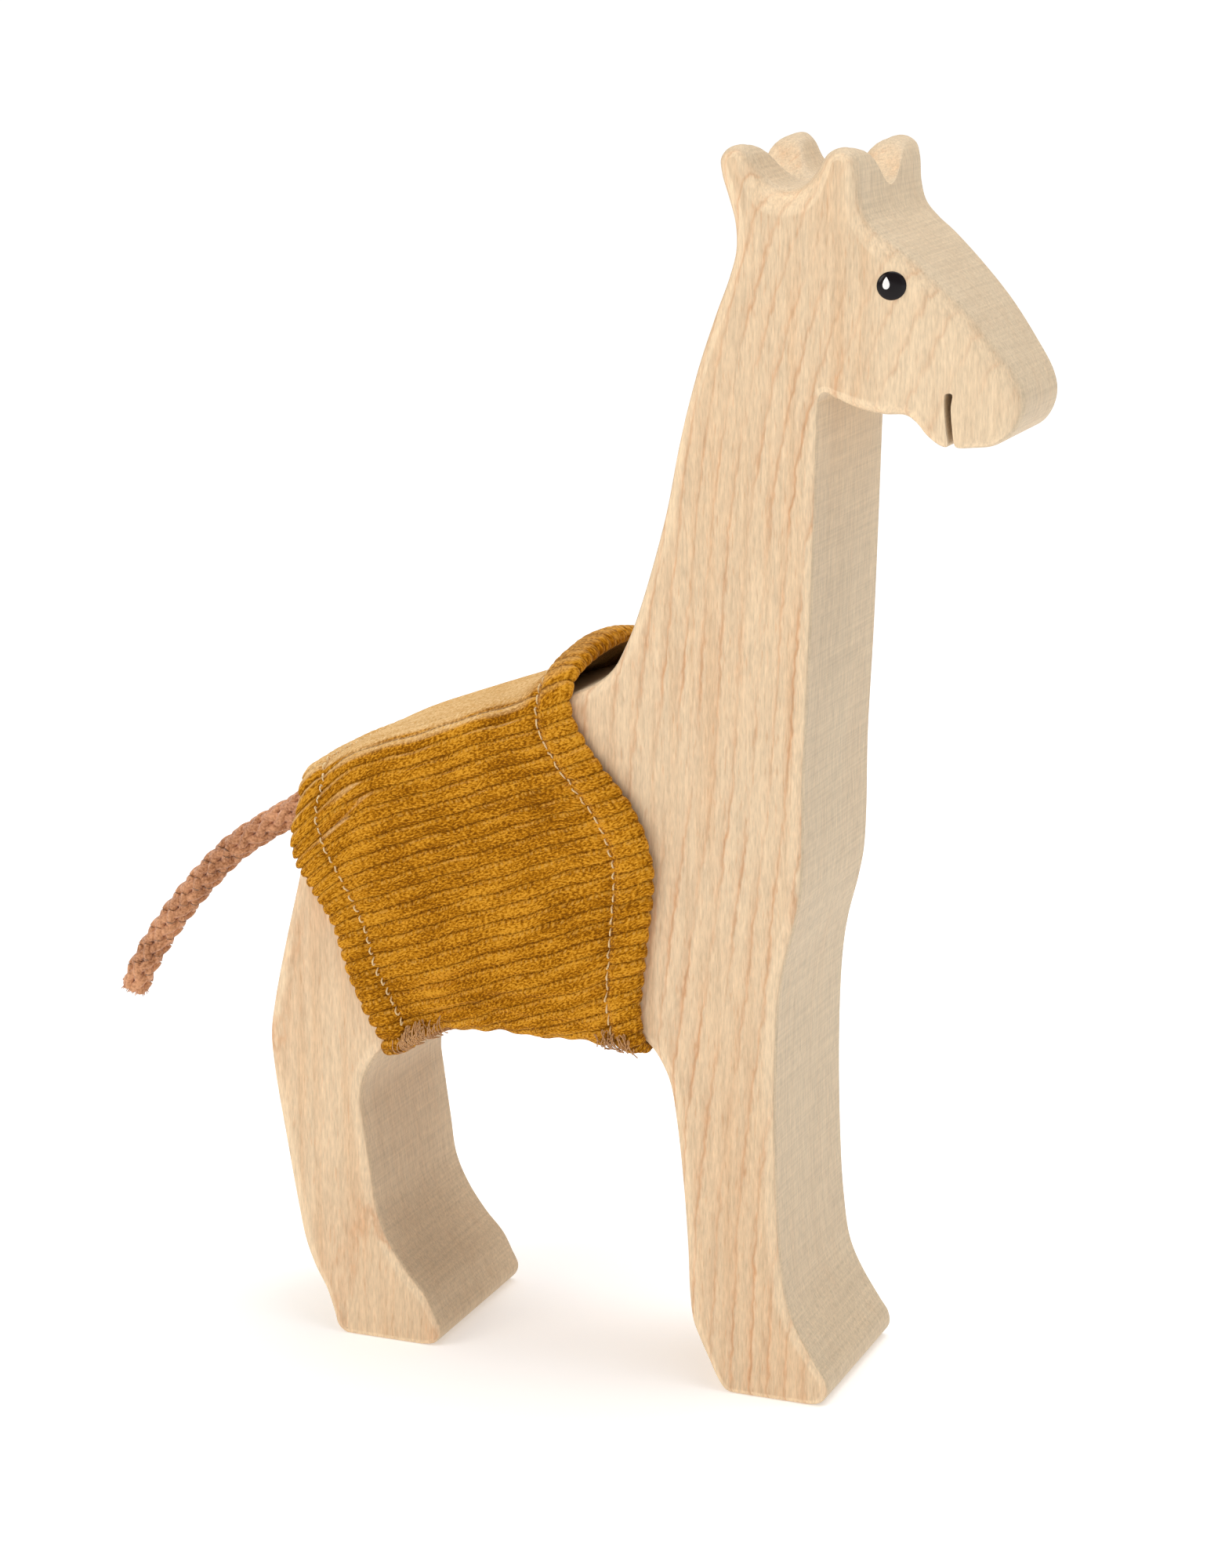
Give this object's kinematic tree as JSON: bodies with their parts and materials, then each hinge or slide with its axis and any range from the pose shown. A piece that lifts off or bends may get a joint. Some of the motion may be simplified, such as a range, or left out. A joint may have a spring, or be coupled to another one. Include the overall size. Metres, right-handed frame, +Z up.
{
  "type": "wooden giraffe figure",
  "caption": "Giraffe figure about 200 mm tall, sawn from a thick plank of pale hardwood, with painted eyes, a brown corduroy back cover and a braided cord tail",
  "frame": {"origin": "on the floor under the middle of the figure's length and thickness, the cord tail left out", "axes": "+X towards the nose, +Y towards the figure's left side, +Z up"},
  "size_m": [0.1621, 0.0396, 0.2],
  "materials": {
    "hardwood": "sanded smooth, unvarnished",
    "eye_paint": "thick glossy black paint",
    "glint_paint": "white paint",
    "corduroy": "wide-wale cotton corduroy",
    "sewing_thread": "spun polyester thread",
    "overlock_thread": "overlocked edge",
    "braided_cotton": "braided cotton cord",
    "glue": "dried wood glue"
  },
  "bodies": {
    "root": {"wooden_body": "hardwood", "eye_right": "eye_paint", "eye_left": "eye_paint", "eye_glint_right": "glint_paint", "eye_glint_left": "glint_paint", "corduroy_cover": "corduroy", "front_hem_thread": "sewing_thread", "rear_hem_thread": "sewing_thread", "belly_seam": "overlock_thread", "tail_cord": "braided_cotton", "tail_glue": "glue"}
  },
  "joints": []
}
